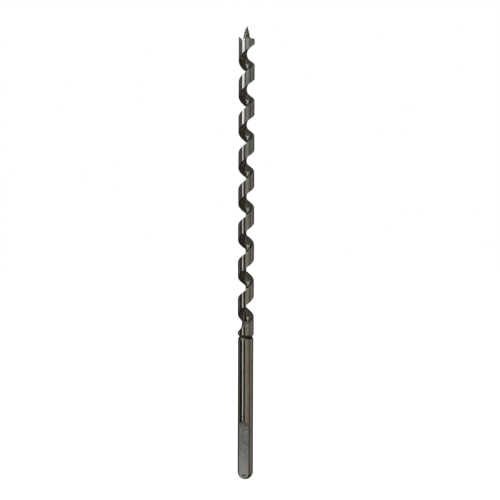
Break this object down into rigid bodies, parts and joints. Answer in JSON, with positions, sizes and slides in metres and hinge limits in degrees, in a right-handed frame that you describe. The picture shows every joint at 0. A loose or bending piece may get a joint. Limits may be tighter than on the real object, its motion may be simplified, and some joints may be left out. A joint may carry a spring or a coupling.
{
  "type": "auger bit",
  "caption": "Long single-twist auger bit: threaded lead screw, scoring spur, cutting lip, wide spiral flute, V groove and a round shank with a drive flat.",
  "frame": {"origin": "centre of the flat at the middle of the shank's domed end", "axes": "+Z along the bit's axis from the shank end to the screw point; +X to the right and +Y away from a viewer who sees the drive flat turned 15 degrees to the left"},
  "size_m": [0.016, 0.016, 0.45],
  "materials": {
    "shank_steel": "ground round, with a milled flat, lightly oiled and stained",
    "twist_steel": "ground lands, dark as-forged flute",
    "head_steel": "ground outside, dark flute",
    "edge_steel": "filed bright",
    "screw_steel": "cut thread, dark roots and bright crests"
  },
  "bodies": {
    "root": {"shank": "shank_steel", "twist_body": "twist_steel", "cutting_head": "head_steel", "cutting_lip": "edge_steel", "side_spur": "edge_steel", "lead_screw": "screw_steel"}
  },
  "joints": []
}
